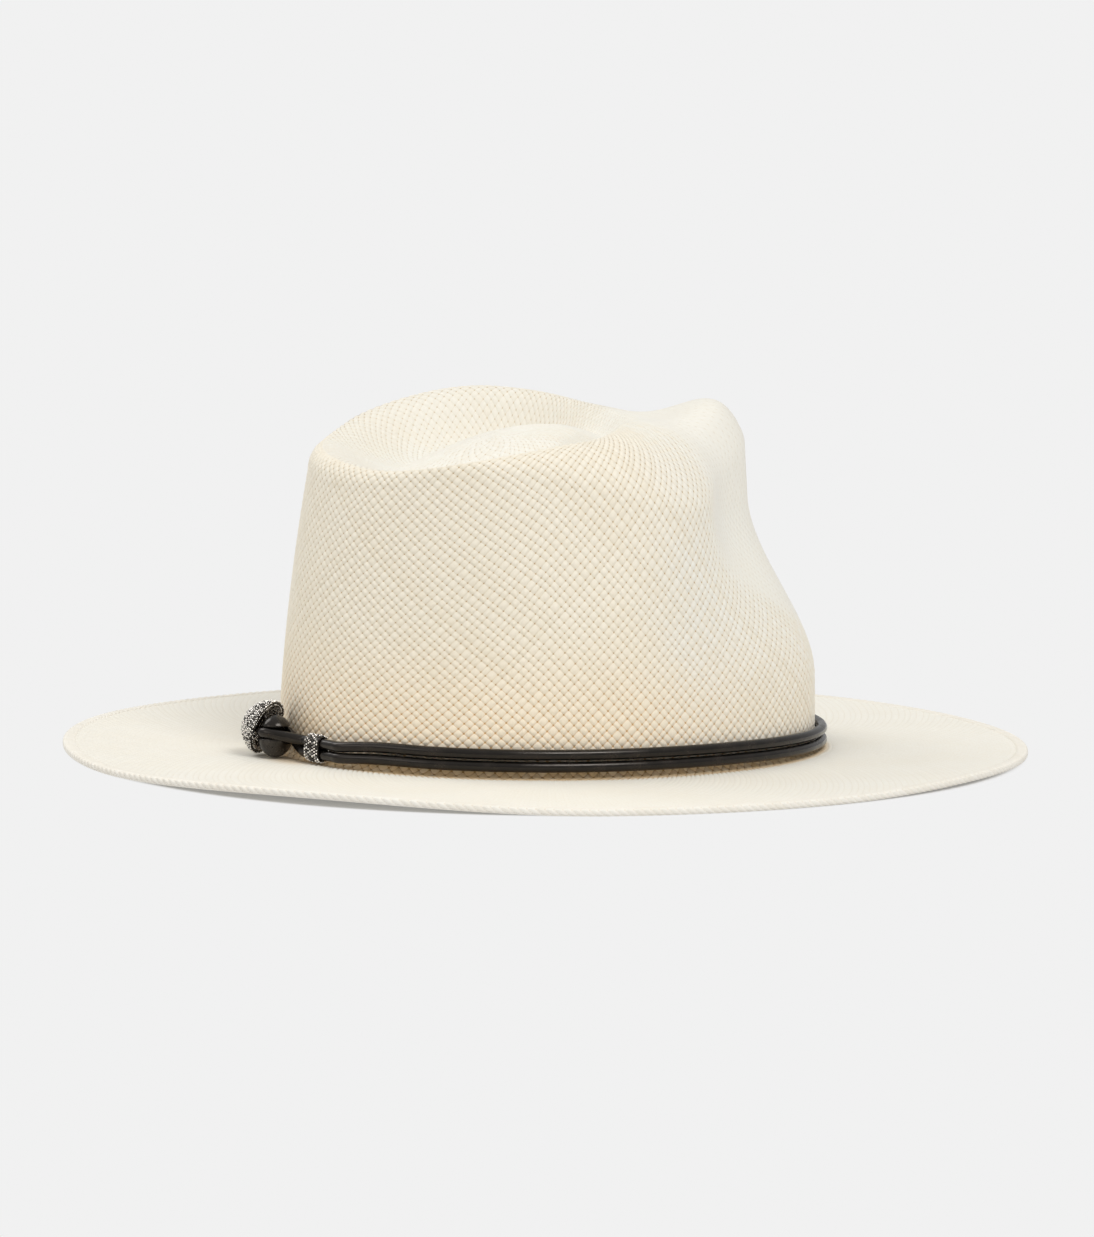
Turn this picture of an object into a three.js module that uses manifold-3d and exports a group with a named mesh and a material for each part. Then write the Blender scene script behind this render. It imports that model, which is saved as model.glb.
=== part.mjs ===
// A woven straw hat with a teardrop crown, a flat brim and a folded leather cord band that is closed
// by a beaded toggle. Millimetres, +Z up. The origin is under the middle of the brim, on the surface
// that the brim lies on, and +X points to the front of the hat.

import * as THREE from 'three';
import { mergeVertices } from 'three/addons/utils/BufferGeometryUtils.js';
import Module from 'manifold-3d';

// ---------------------------------------------------------------- driving dimensions

const HEAD_OVAL = { length: 205.4, width: 170, egg: 0.03 }; // outside of the crown at its foot
const BRIM_WIDTH = 81.3;
const STRAW = 1.2; // thickness of the woven straw
const GAP = 0.3; // room left between neighbouring pieces
const CROWN_HEIGHT = 126.1; // brim to the sides of the teardrop's crest
const REAR_DROP = 14.5; // how much lower the crest is at the rear
const CORD_DIAMETER = 4;
const BEAD = 0.9; // diameter of one metal bead

// ---------------------------------------------------------------- small helpers

const degrees = (angle) => THREE.MathUtils.degToRad(angle);
const lerp = THREE.MathUtils.lerp;
const step = (value, from, to) => THREE.MathUtils.smoothstep(value, from, to);

// The angle from the front of the hat, from 0 at the front to 180 at the rear, on either side.
const fromFront = (angle) => Math.abs(THREE.MathUtils.euclideanModulo(angle + 180, 360) - 180);

// A round bump of height 1 that is centred on an angle and ends at halfWidth on both sides.
function bump(angle, centre, halfWidth) {
  const away = Math.abs(THREE.MathUtils.euclideanModulo(angle - centre + 180, 360) - 180);
  return away < halfWidth ? 0.5 + 0.5 * Math.cos((Math.PI * away) / halfWidth) : 0;
}

// ---------------------------------------------------------------- the crown

const BRIM_TOP = 1.6; // height of the brim's upper face where the crown rises from it
const FILLET = 3; // bend between brim and crown

// Distance from the axis to an oval of these half axes. The rear is a little wider than the front.
function ovalRadius(angle, halfLength, halfWidth) {
  const a = degrees(angle);
  const wide = halfWidth * (1 - HEAD_OVAL.egg * Math.cos(a));
  return (halfLength * wide) / Math.hypot(wide * Math.cos(a), halfLength * Math.sin(a));
}
const crownBase = (angle) => ovalRadius(angle, HEAD_OVAL.length / 2, HEAD_OVAL.width / 2);

// How far the wall leans in at a height: a slight taper all round, a nose that leans back, and a
// finger pinch on each side of the nose.
const WALL = { taper: 4.5, rearTaper: 5.5, noseLean: 23, pinchDepth: 8.5 };
const PINCH = { angle: 32, halfWidth: 32 };
function wallInset(angle, height) {
  const front = fromFront(angle);
  const taper = WALL.taper + WALL.rearTaper * step(front, 110, 175);
  const lean = WALL.noseLean * step(height, 27, 95) * bump(front, 0, 92);
  const pinch = WALL.pinchDepth * step(height, 34, 92) * bump(front, PINCH.angle, PINCH.halfWidth);
  return taper * (height / 105) ** 1.7 + lean + pinch;
}
const wallRadius = (angle, height) => crownBase(angle) - wallInset(angle, height);

// The crest is the teardrop line round the crease in the top: wide at the rear, narrow at the nose.
// It was blocked by hand, and stands a little lower on the right side of the hat than on the left.
const CREST = { nose: 35, rear: 86.5, lean: 5.5, saddle: 2.3 };
const crestRadius = (angle) => lerp(CREST.nose, CREST.rear, step(fromFront(angle), 52, 140));
function crestHeight(angle) {
  const front = fromFront(angle);
  const lean = CREST.lean * Math.sin(degrees(angle)) * step(front, 20, 115);
  return CROWN_HEIGHT - REAR_DROP * step(front, 96, 160) - CREST.saddle * bump(front, 0, 60) + lean;
}

// The shoulder rounds the wall over to the crest. It is broad beside the nose and tight at the rear.
const NOSE_RISE = 8.5; // the nose stands this much above the crest behind it
const noseShare = (angle) => bump(fromFront(angle), 0, 36);
function shoulderStart(angle) {
  const crest = crestHeight(angle);
  const run = wallRadius(angle, crest - 15) - crestRadius(angle);
  return crest - 4 - lerp(0.62, 0.12, noseShare(angle)) * run;
}
function shoulderPoint(angle, share) {
  const low = shoulderStart(angle);
  const outer = wallRadius(angle, low);
  const inner = crestRadius(angle);
  const turn = (share * Math.PI) / 2;
  const power = 0.95 + 0.3 * bump(fromFront(angle), 58, 34) - 0.25 * noseShare(angle);
  const across = 1 - Math.cos(turn) ** power;
  const nose = NOSE_RISE * noseShare(angle) * Math.sin(Math.PI * across ** 0.6) ** 2;
  const height = lerp(low, crestHeight(angle), Math.sin(turn) ** power) + nose;
  return [lerp(outer, inner, across), height];
}

// Inside the crest a channel runs round a raised mound in the middle.
const MOUND = 121.8; // height of the mound's top
const CHANNEL = { at: 0.66, frontDepth: 8.5, sideDepth: 11 };
function creasePoint(angle, share) {
  const crest = crestHeight(angle);
  const side = Math.exp(-(((fromFront(angle) - 105) / 38) ** 2));
  const floor = crest - CHANNEL.frontDepth - CHANNEL.sideDepth * side;
  const radius = crestRadius(angle) * share;
  if (share > CHANNEL.at) {
    return [radius, lerp(floor, crest, step(share, CHANNEL.at, 1))];
  }
  const climb = 1 - (share / CHANNEL.at) ** 2;
  return [radius, lerp(floor, MOUND, climb ** 1.15)];
}

// ---------------------------------------------------------------- the brim

// The brim lies flat, apart from a few shallow waves where its edge lifts off the surface.
const BRIM_WAVES = [
  { centre: -134, halfWidth: 38, lift: 3 },
  { centre: 45, halfWidth: 46, lift: 0.8 },
  { centre: 158, halfWidth: 38, lift: 1 },
  { centre: -40, halfWidth: 26, lift: 1 },
];
const EDGE = { width: 5, height: 2.8 }; // the rolled edge of the brim
function edgeLift(angle) {
  return BRIM_WAVES.reduce((sum, wave) => sum + wave.lift * bump(angle, wave.centre, wave.halfWidth), 0);
}
function edgeRadius(angle) {
  return ovalRadius(angle, HEAD_OVAL.length / 2 + BRIM_WIDTH, HEAD_OVAL.width / 2 + BRIM_WIDTH);
}

function brimPoint(angle, share) {
  const inner = crownBase(angle) + FILLET;
  const outer = edgeRadius(angle) - EDGE.width - GAP;
  const edgeTop = edgeLift(angle) + (EDGE.height + STRAW) / 2;
  return [lerp(inner, outer, share), lerp(BRIM_TOP, edgeTop, share * share)];
}

// ---------------------------------------------------------------- the woven shell's profile

// The outside of the hat at one angle, as [radius, height] pairs from the middle of the top to the
// brim's edge. Heights of the crown count from the brim's upper face, as on the real object.
const ROWS = { crease: 8, shoulder: 4, wall: 7, fillet: 2, brim: 3 };
function outsideProfile(angle) {
  const points = [];
  for (let i = 0; i <= ROWS.crease; i += 1) {
    points.push(creasePoint(angle, i / ROWS.crease));
  }
  for (let i = ROWS.shoulder - 1; i >= 1; i -= 1) {
    points.push(shoulderPoint(angle, i / ROWS.shoulder));
  }
  for (let i = ROWS.wall; i >= 1; i -= 1) {
    const height = lerp(FILLET, shoulderStart(angle), i / ROWS.wall);
    points.push([wallRadius(angle, height), height]);
  }
  const lifted = points.map(([radius, height]) => [radius, height + BRIM_TOP]);
  for (let i = 0; i < ROWS.fillet; i += 1) {
    const turn = (i / ROWS.fillet) * (Math.PI / 2);
    const radius = crownBase(angle) + FILLET * (1 - Math.cos(turn));
    lifted.push([radius, BRIM_TOP + FILLET * (1 - Math.sin(turn))]);
  }
  for (let i = 0; i <= ROWS.brim; i += 1) {
    lifted.push(brimPoint(angle, i / ROWS.brim));
  }
  return lifted;
}

function toXYZ(angle, [radius, height]) {
  return new THREE.Vector3(radius * Math.cos(degrees(angle)), radius * Math.sin(degrees(angle)), height);
}

// ---------------------------------------------------------------- solids from grids of points

// A lathe whose vertex (i, j) is moved to place(angle in degrees, j). The profile has count points,
// and either starts and ends on the axis or closes on itself.
function shapedLathe(count, segments, place) {
  const profile = Array.from({ length: count }, (_, j) => new THREE.Vector2(j + 1, j));
  const lathe = new THREE.LatheGeometry(profile, segments);
  const position = lathe.attributes.position;
  for (let i = 0; i <= segments; i += 1) {
    const angle = ((i % segments) * 360) / segments;
    for (let j = 0; j < count; j += 1) {
      const point = place(angle, j);
      position.setXYZ(i * count + j, point.x, point.y, point.z);
    }
  }
  return closedBody(lathe);
}

// The same solid with shared vertices, no empty triangles, and its faces turned outwards.
function closedBody(geometry) {
  geometry.deleteAttribute('normal');
  geometry.deleteAttribute('uv');
  const merged = mergeVertices(geometry, 1e-4);
  const index = Array.from(merged.index.array);
  const kept = [];
  for (let i = 0; i < index.length; i += 3) {
    const [a, b, c] = index.slice(i, i + 3);
    if (a !== b && b !== c && c !== a) {
      kept.push(a, b, c);
    }
  }
  merged.setIndex(signedVolume(merged, kept) < 0 ? kept.reverse() : kept);
  merged.computeVertexNormals();
  return merged;
}

function signedVolume(geometry, index) {
  const corner = (i) => new THREE.Vector3().fromBufferAttribute(geometry.attributes.position, index[i]);
  let volume = 0;
  for (let i = 0; i < index.length; i += 3) {
    volume += corner(i).dot(corner(i + 1).cross(corner(i + 2))) / 6;
  }
  return volume;
}

// A tube with a round section along a curve, closed at both ends.
function tube(curve, radius, sides, steps) {
  const section = new THREE.Shape();
  section.setFromPoints(
    Array.from({ length: sides }, (_, i) => {
      const turn = (i * 2 * Math.PI) / sides;
      return new THREE.Vector2(radius * Math.cos(turn), radius * Math.sin(turn));
    }),
  );
  const options = { extrudePath: curve, steps, bevelEnabled: false };
  return closedBody(new THREE.ExtrudeGeometry(section, options));
}

// A ring of round section: centre(turn) gives the middle line and outward(turn) the way out of it.
function beadRing(segments, centre, outward, along) {
  const sides = 5;
  return shapedLathe(sides + 1, segments, (angle, j) => {
    const turn = ((j % sides) * 2 * Math.PI) / sides;
    const out = outward(angle).multiplyScalar((Math.cos(turn) * BEAD) / 2);
    const side = along.clone().multiplyScalar((Math.sin(turn) * BEAD) / 2);
    return centre(angle).add(out).add(side);
  });
}

// ---------------------------------------------------------------- the hat itself

const SEGMENTS = 72;

// Outside and inside of the woven shell. The inside lies a straw's thickness behind the outside.
function strawShell() {
  const outside = new Map();
  const profileAt = (angle) => {
    const key = THREE.MathUtils.euclideanModulo(angle, 360).toFixed(3);
    if (!outside.has(key)) {
      outside.set(key, outsideProfile(angle));
    }
    return outside.get(key);
  };
  const count = profileAt(0).length;
  const at = (angle, j) => toXYZ(angle, profileAt(angle)[j]);
  const inward = (angle, j) => {
    if (j === 0) {
      return new THREE.Vector3(0, 0, -STRAW);
    }
    const turn = 360 / SEGMENTS;
    const round = at(angle + turn, j).sub(at(angle - turn, j));
    const down = at(angle, Math.min(j + 1, count - 1)).sub(at(angle, j - 1));
    return round.cross(down).setLength(STRAW);
  };
  return shapedLathe(2 * count, SEGMENTS, (angle, j) => {
    if (j < count) {
      return at(angle, j);
    }
    const back = 2 * count - 1 - j;
    return at(angle, back).add(inward(angle, back));
  });
}

// The rolled and back-woven edge of the brim. It is flat underneath, where the hat rests on it.
function brimEdge() {
  const { width, height } = EDGE;
  const corner = 0.9;
  const section = [
    [-width + corner, 0],
    [-corner, 0],
    [0, corner],
    [0, height - corner],
    [-corner, height],
    [-width + corner, height],
    [-width, height - corner],
    [-width, corner],
  ];
  return shapedLathe(section.length + 1, SEGMENTS, (angle, j) => {
    const [across, up] = section[j % section.length];
    return toXYZ(angle, [edgeRadius(angle) + across, edgeLift(angle) + up]);
  });
}

// The sweatband lines the inside of the crown's foot.
const SWEATBAND = { bottom: 3.2, height: 32, thickness: 0.9 };
function sweatbandRadius(angle, up, depth) {
  return wallRadius(angle, Math.max(up, 0)) - STRAW - GAP - 0.3 - depth;
}
function sweatband() {
  const { bottom, height, thickness } = SWEATBAND;
  const section = [
    [0, 0],
    [0, 0.5],
    [0, 1],
    [thickness, 1],
    [thickness, 0.5],
    [thickness, 0],
  ];
  return shapedLathe(section.length + 1, SEGMENTS, (angle, j) => {
    const [depth, share] = section[j % section.length];
    const up = bottom + share * height;
    return toXYZ(angle, [sweatbandRadius(angle, up, depth), up]);
  });
}

// The row of lock stitches that sews the sweatband in, just above its lower edge.
function sweatbandStitching() {
  const thread = 0.6;
  const sides = 5;
  const up = SWEATBAND.bottom + 2.5;
  return shapedLathe(sides + 1, SEGMENTS, (angle, j) => {
    const turn = ((j % sides) * 2 * Math.PI) / sides;
    const middle = sweatbandRadius(angle, up, SWEATBAND.thickness + 0.15 + thread / 2);
    return toXYZ(angle, [middle + (Math.cos(turn) * thread) / 2, up + (Math.sin(turn) * thread) / 2]);
  });
}

// A short tape covers the joint of the sweatband at the rear.
function sweatbandTape() {
  const size = { thick: 0.8, wide: 14, tall: SWEATBAND.height - 9 };
  const up = SWEATBAND.bottom + 7 + size.tall / 2;
  const face = sweatbandRadius(180, up + size.tall / 2, SWEATBAND.thickness);
  const tape = new THREE.BoxGeometry(size.thick, size.wide, size.tall);
  tape.translate(-(face - size.thick / 2 - 0.7), 0, up);
  return closedBody(tape);
}

// ---------------------------------------------------------------- the toggle at the rear

const TOGGLE_ANGLE = 189.5; // where the ball stands beside the crown
const BALL = { radius: 6.6, halfHeight: 8, offset: 9.6 };
const LOOP_RADIUS = 5.2; // of the cord's middle line round the ball
const KEEPER_ANGLE = 200.1;
const KEEPER = { length: 7.8, offset: 4.3, height: 5.95, rows: 7 };

// A point this far out from the crown's foot, at a height above the brim's upper face.
function besideCrown(angle, offset, height) {
  return toXYZ(angle, [crownBase(angle) - wallInset(angle, height) + offset, BRIM_TOP + height]);
}
const BALL_CENTRE = besideCrown(TOGGLE_ANGLE, BALL.offset, BALL.halfHeight + GAP);
const LOOP_CENTRE = BALL_CENTRE.clone().add(new THREE.Vector3(0, 0, 1.7));

// The band's two strands run one above the other through the keeper.
const STRAND_SPACING = CORD_DIAMETER + 0.1;
const KEEPER_CENTRE = besideCrown(KEEPER_ANGLE, KEEPER.offset, KEEPER.height);
const KEEPER_AXIS = (() => {
  const ahead = besideCrown(KEEPER_ANGLE - 1, KEEPER.offset, KEEPER.height);
  const behind = besideCrown(KEEPER_ANGLE + 1, KEEPER.offset, KEEPER.height);
  return ahead.sub(behind).setZ(0).normalize();
})();
const UP = new THREE.Vector3(0, 0, 1);

const toKeeper = (along, up) =>
  KEEPER_CENTRE.clone().addScaledVector(KEEPER_AXIS, along).addScaledVector(UP, up);

// The strands round the crown, from the keeper through the near side and the front to the cup.
const STRANDS = { upper: 9, lower: 4.5, frontDip: 1.7, offset: CORD_DIAMETER / 2 + 0.75 };
function strandPoint(angle, height) {
  const dip = STRANDS.frontDip * bump(angle, 0, 70);
  return besideCrown(angle, STRANDS.offset, height - dip);
}
const STRAND_STEP = 15;
const STRAND_ANGLES = Array.from({ length: 20 }, (_, i) => -145 + i * STRAND_STEP);

// One cord, folded in two: out from the cup, once round the crown, through the keeper, round the
// ball, back through the keeper and round the crown again to the cup.
const CUP = { radius: 11.3, shell: 0.7, halfAngle: 82, rows: 7 };
const CUP_CENTRE = BALL_CENTRE.clone().add(new THREE.Vector3(-0.4, 6.6, 1.7));
const CUP_AXIS = new THREE.Vector3(0.657, -0.641, -0.32).normalize(); // the way its opening faces

function cordEnd(height) {
  return [155, 162, 168].map((angle) => besideCrown(angle, STRANDS.offset + 0.2, height));
}

function loopRoute() {
  const toBall = LOOP_CENTRE.clone().sub(KEEPER_CENTRE).setZ(0).normalize();
  const outwards = new THREE.Vector3().crossVectors(toBall, UP).multiplyScalar(-1);
  const round = (turn) =>
    LOOP_CENTRE.clone()
      .addScaledVector(outwards, LOOP_RADIUS * Math.cos(degrees(turn)))
      .addScaledVector(toBall, LOOP_RADIUS * Math.sin(degrees(turn)));
  const straight = [-13, -10, -5, 0, 5.1, 7.1];
  const half = STRAND_SPACING / 2;
  return [
    ...straight.map((along) => toKeeper(along, half)),
    ...[0, 30, 60, 90, 120, 150, 180].map(round),
    ...straight.reverse().map((along) => toKeeper(along, -half)),
  ];
}

// A smooth curve whose steps follow its own points, so that the tight loop gets as many as it needs.
function smoothCurve(points) {
  const curve = new THREE.CatmullRomCurve3(points, false, 'centripetal');
  curve.getUtoTmapping = (share) => share;
  return curve;
}
const STEPS_BETWEEN_POINTS = 2;

function foldedCord() {
  const upper = STRAND_ANGLES.map((angle) => strandPoint(angle, STRANDS.upper));
  const lower = STRAND_ANGLES.map((angle) => strandPoint(angle, STRANDS.lower));
  const points = [
    ...cordEnd(STRANDS.upper - 0.3).reverse(),
    ...upper.reverse(),
    ...loopRoute(),
    ...lower,
    ...cordEnd(STRANDS.lower - 0.3),
  ];
  const steps = STEPS_BETWEEN_POINTS * (points.length - 1);
  return tube(smoothCurve(points), CORD_DIAMETER / 2, 8, steps);
}

// The ball is a leather knot with a waist that the cord's loop is drawn into.
async function toggleBall() {
  const wasm = await Module();
  wasm.setup();
  const ball = new THREE.SphereGeometry(BALL.radius, 20, 14);
  ball.scale(1, 1, BALL.halfHeight / BALL.radius);
  ball.translate(...BALL_CENTRE.toArray());
  const route = loopRoute();
  const steps = STEPS_BETWEEN_POINTS * (route.length - 1);
  const waist = tube(smoothCurve(route), CORD_DIAMETER / 2 + GAP, 12, steps);
  const solids = [ball, waist].map((geometry) => {
    const body = closedBody(geometry);
    return new wasm.Manifold(
      new wasm.Mesh({
        numProp: 3,
        vertProperties: Float32Array.from(body.attributes.position.array),
        triVerts: Uint32Array.from(body.index.array),
      }),
    );
  });
  const cut = solids[0].subtract(solids[1]).getMesh();
  const geometry = new THREE.BufferGeometry();
  geometry.setAttribute('position', new THREE.BufferAttribute(cut.vertProperties, 3));
  geometry.setIndex(Array.from(cut.triVerts));
  return closedBody(geometry);
}

// Directions across the cup's axis.
const CUP_SIDE = new THREE.Vector3().crossVectors(CUP_AXIS, UP).normalize();
const CUP_TOP = new THREE.Vector3().crossVectors(CUP_SIDE, CUP_AXIS).normalize();

// A point on a ball round the cup's centre: tilt is the angle from the closed end of the cup.
function onCup(turn, tilt, radius) {
  const away = Math.sin(degrees(tilt)) * radius;
  return CUP_CENTRE.clone()
    .addScaledVector(CUP_AXIS, -Math.cos(degrees(tilt)) * radius)
    .addScaledVector(CUP_SIDE, Math.cos(degrees(turn)) * away)
    .addScaledVector(CUP_TOP, Math.sin(degrees(turn)) * away);
}

// The cup that holds the ball: a thin leather bowl, with rows of metal beads sewn round it.
const CUP_OUTER = CUP.radius - BEAD - 0.15;
function cupShell() {
  const rows = 7;
  return shapedLathe(2 * rows, 24, (angle, j) => {
    const outside = j < rows;
    const share = (outside ? j : 2 * rows - 1 - j) / (rows - 1);
    return onCup(angle, CUP.halfAngle * share, outside ? CUP_OUTER : CUP_OUTER - CUP.shell);
  });
}
function cupBeadRow(row) {
  const tilt = ((row + 0.8) / CUP.rows) * CUP.halfAngle * 0.97;
  const middle = CUP.radius - BEAD / 2;
  const sides = 5;
  return shapedLathe(sides + 1, 12 + 2 * row, (angle, j) => {
    const turn = ((j % sides) * 2 * Math.PI) / sides;
    const lean = ((Math.sin(turn) * BEAD) / 2 / middle) * (180 / Math.PI);
    return onCup(angle, tilt + lean, middle + (Math.cos(turn) * BEAD) / 2);
  });
}

// The stem that holds the ball in the cup.
const STEM_RADIUS = 1.2;
function toggleStem() {
  const direction = new THREE.Vector3(-0.35, 0.55, 0.76).normalize();
  const start = 1 / Math.hypot(
    Math.hypot(direction.x, direction.y) / BALL.radius,
    direction.z / BALL.halfHeight,
  );
  const offset = BALL_CENTRE.clone().sub(CUP_CENTRE);
  const along = offset.dot(direction);
  const reach = CUP_OUTER - CUP.shell;
  const end = -along + Math.sqrt(along * along - offset.lengthSq() + reach * reach);
  const length = end - start - 2 * GAP - STEM_RADIUS;
  const stem = new THREE.CylinderGeometry(STEM_RADIUS, STEM_RADIUS, length, 10);
  stem.rotateX(Math.PI / 2);
  stem.applyQuaternion(new THREE.Quaternion().setFromUnitVectors(UP, direction));
  stem.translate(...BALL_CENTRE.clone().addScaledVector(direction, start + GAP + length / 2).toArray());
  return closedBody(stem);
}

// ---------------------------------------------------------------- the keeper on the cord

// A ring round both strands: a stadium with straight sides between the strands' middles.
const KEEPER_OUT = new THREE.Vector3().crossVectors(KEEPER_AXIS, UP).normalize();
function keeperDirection(angle) {
  const turn = degrees(angle);
  return KEEPER_OUT.clone().multiplyScalar(Math.cos(turn)).addScaledVector(UP, Math.sin(turn));
}
function keeperPoint(angle, radius, along) {
  const up = Math.sin(degrees(angle));
  const middle = toKeeper(along, (Math.abs(up) < 0.01 ? 0 : Math.sign(up)) * (STRAND_SPACING / 2));
  return middle.addScaledVector(keeperDirection(angle), radius);
}
const SLEEVE = { inner: CORD_DIAMETER / 2 + 0.28, outer: CORD_DIAMETER / 2 + 0.53 };
function keeperSleeve() {
  const half = KEEPER.length / 2;
  const section = [
    [SLEEVE.outer, -half],
    [SLEEVE.outer, half],
    [SLEEVE.inner, half],
    [SLEEVE.inner, -half],
  ];
  return shapedLathe(section.length + 1, 16, (angle, j) => {
    const [radius, along] = section[j % section.length];
    return keeperPoint(angle, radius, along);
  });
}
function keeperBeadRow(row) {
  const pitch = (KEEPER.length - BEAD) / (KEEPER.rows - 1);
  const along = -KEEPER.length / 2 + BEAD / 2 + row * pitch;
  const middle = SLEEVE.outer + 0.12 + BEAD / 2;
  return beadRing(16, (angle) => keeperPoint(angle, middle, along), keeperDirection, KEEPER_AXIS);
}

// ---------------------------------------------------------------- the assembly

function material(name, color, roughness, metalness) {
  return new THREE.MeshStandardMaterial({ name, color, roughness, metalness });
}
const straw = material('bleached_straw', 0xf1ead8, 0.75, 0);
const strawEdge = material('straw_edge', 0xe8e0cf, 0.8, 0);
const leather = material('dark_leather', 0x2a231e, 0.45, 0);
const metal = material('silver_beads', 0xb9b4aa, 0.25, 1);
const cotton = material('sweatband_cotton', 0xddd3bf, 0.9, 0);
const thread = material('cotton_thread', 0xf3eee2, 0.8, 0);

const hat = new THREE.Group();
function addPiece(name, geometry, finish) {
  const mesh = new THREE.Mesh(geometry, finish);
  mesh.name = name;
  hat.add(mesh);
}

addPiece('straw_body', strawShell(), straw);
addPiece('brim_edge', brimEdge(), strawEdge);
addPiece('sweatband', sweatband(), cotton);
addPiece('sweatband_stitching', sweatbandStitching(), thread);
addPiece('sweatband_joint_tape', sweatbandTape(), cotton);
addPiece('band_cord', foldedCord(), leather);
addPiece('toggle_ball', await toggleBall(), leather);
addPiece('toggle_stem', toggleStem(), leather);
addPiece('bead_cup', cupShell(), leather);
for (let row = 0; row < CUP.rows; row += 1) {
  addPiece(`cup_bead_row_${row + 1}`, cupBeadRow(row), metal);
}
addPiece('keeper_sleeve', keeperSleeve(), leather);
for (let row = 0; row < KEEPER.rows; row += 1) {
  addPiece(`keeper_bead_row_${row + 1}`, keeperBeadRow(row), metal);
}

export default hat;
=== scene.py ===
"""The panama hat's looks: woven straw, back-woven brim edge, leather cord band, ball and bead toggle.

Shapes repeat the CAD part's formulas and driving dimensions, in millimetres, and are scaled to metres
as each mesh is made. Angles are in degrees from +X, the front of the hat. Family A of the weave runs
down towards the front on the hat's right side, and family B crosses it.
"""

import math

import bpy
import numpy as np
from mathutils import Matrix, Vector


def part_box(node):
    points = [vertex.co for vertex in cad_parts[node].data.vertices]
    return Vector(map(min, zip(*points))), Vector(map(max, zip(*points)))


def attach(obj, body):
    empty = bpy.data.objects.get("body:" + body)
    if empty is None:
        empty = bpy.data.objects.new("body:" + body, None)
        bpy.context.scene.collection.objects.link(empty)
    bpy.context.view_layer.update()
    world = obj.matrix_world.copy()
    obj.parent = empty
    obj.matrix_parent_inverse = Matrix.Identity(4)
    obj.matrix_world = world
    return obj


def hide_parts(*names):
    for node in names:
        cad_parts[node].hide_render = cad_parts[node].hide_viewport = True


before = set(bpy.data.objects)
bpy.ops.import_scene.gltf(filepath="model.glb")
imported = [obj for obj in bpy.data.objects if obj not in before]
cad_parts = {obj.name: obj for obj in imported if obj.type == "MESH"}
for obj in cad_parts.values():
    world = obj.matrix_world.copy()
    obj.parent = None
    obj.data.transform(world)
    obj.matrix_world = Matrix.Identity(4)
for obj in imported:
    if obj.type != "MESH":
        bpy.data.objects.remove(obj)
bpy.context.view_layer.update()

MM = 0.001
random = np.random.default_rng(7)

# ---- driving dimensions, as in the CAD

OVAL_LENGTH, OVAL_WIDTH, OVAL_EGG = 205.4, 170.0, 0.03
BRIM_WIDTH = 81.3
STRAW = 1.2
GAP = 0.3
CROWN_HEIGHT = 126.1
REAR_DROP = 14.5
BRIM_TOP = 1.6
FILLET = 3.0
MOUND = 121.8
NOSE_RISE = 8.5
CREST_NOSE, CREST_REAR, CREST_LEAN, CREST_SADDLE = 35.0, 86.5, 5.5, 2.3
CHANNEL_AT, CHANNEL_FRONT, CHANNEL_SIDE = 0.66, 8.5, 11.0
BRIM_WAVES = ((-134, 38, 3.0), (45, 46, 0.8), (158, 38, 1.0), (-40, 26, 1.0))  # angle, spread, lift
EDGE_WIDTH, EDGE_HEIGHT = 5.0, 2.8
CORD_DIAMETER = 4.0
BAND_BOTTOM, BAND_HEIGHT, BAND_THICK = 3.2, 32.0, 0.9


# ---- small helpers

def lerp(a, b, share):
    return a + (b - a) * share


def step(value, low, high):
    t = np.clip((value - low) / (high - low), 0, 1)
    return t * t * (3 - 2 * t)


def from_front(angle):
    """Degrees from the front of the hat, 0 to 180, on either side."""
    return np.abs(np.mod(angle + 180, 360) - 180)


def bump(angle, centre, half_width):
    """A smooth bump of height 1 round an angle."""
    away = from_front(angle - centre)
    return np.where(away < half_width, 0.5 + 0.5 * np.cos(np.pi * away / half_width), 0)


def around(count):
    """Angles spread evenly over a whole turn."""
    return np.arange(count) * 360 / count


def unit(vectors):
    return vectors / np.linalg.norm(vectors, axis=-1, keepdims=True)


# ---- the hat's surface

def oval_radius(angle, margin):
    """The radius of the head's oval with a margin all round."""
    a = np.radians(angle)
    half_length = OVAL_LENGTH / 2 + margin
    half_width = (OVAL_WIDTH / 2 + margin) * (1 - OVAL_EGG * np.cos(a))
    return half_length * half_width / np.hypot(half_width * np.cos(a), half_length * np.sin(a))


def crown_base(angle):
    return oval_radius(angle, 0)


def wall_inset(angle, height):
    front = from_front(angle)
    taper = 4.5 + 5.5 * step(front, 110, 175)
    lean = 23 * step(height, 27, 95) * bump(front, 0, 92)
    pinch = 8.5 * step(height, 34, 92) * bump(front, 32, 32)
    return taper * (np.maximum(height, 0) / 105) ** 1.7 + lean + pinch


def wall_radius(angle, height):
    return crown_base(angle) - wall_inset(angle, height)


def crest_radius(angle):
    return lerp(CREST_NOSE, CREST_REAR, step(from_front(angle), 52, 140))


def crest_height(angle):
    front = from_front(angle)
    lean = CREST_LEAN * np.sin(np.radians(angle)) * step(front, 20, 115)
    return CROWN_HEIGHT - REAR_DROP * step(front, 96, 160) - CREST_SADDLE * bump(front, 0, 60) + lean


def shoulder_start(angle):
    crest = crest_height(angle)
    run = wall_radius(angle, crest - 15) - crest_radius(angle)
    return crest - 4 - lerp(0.62, 0.12, bump(from_front(angle), 0, 36)) * run


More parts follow.
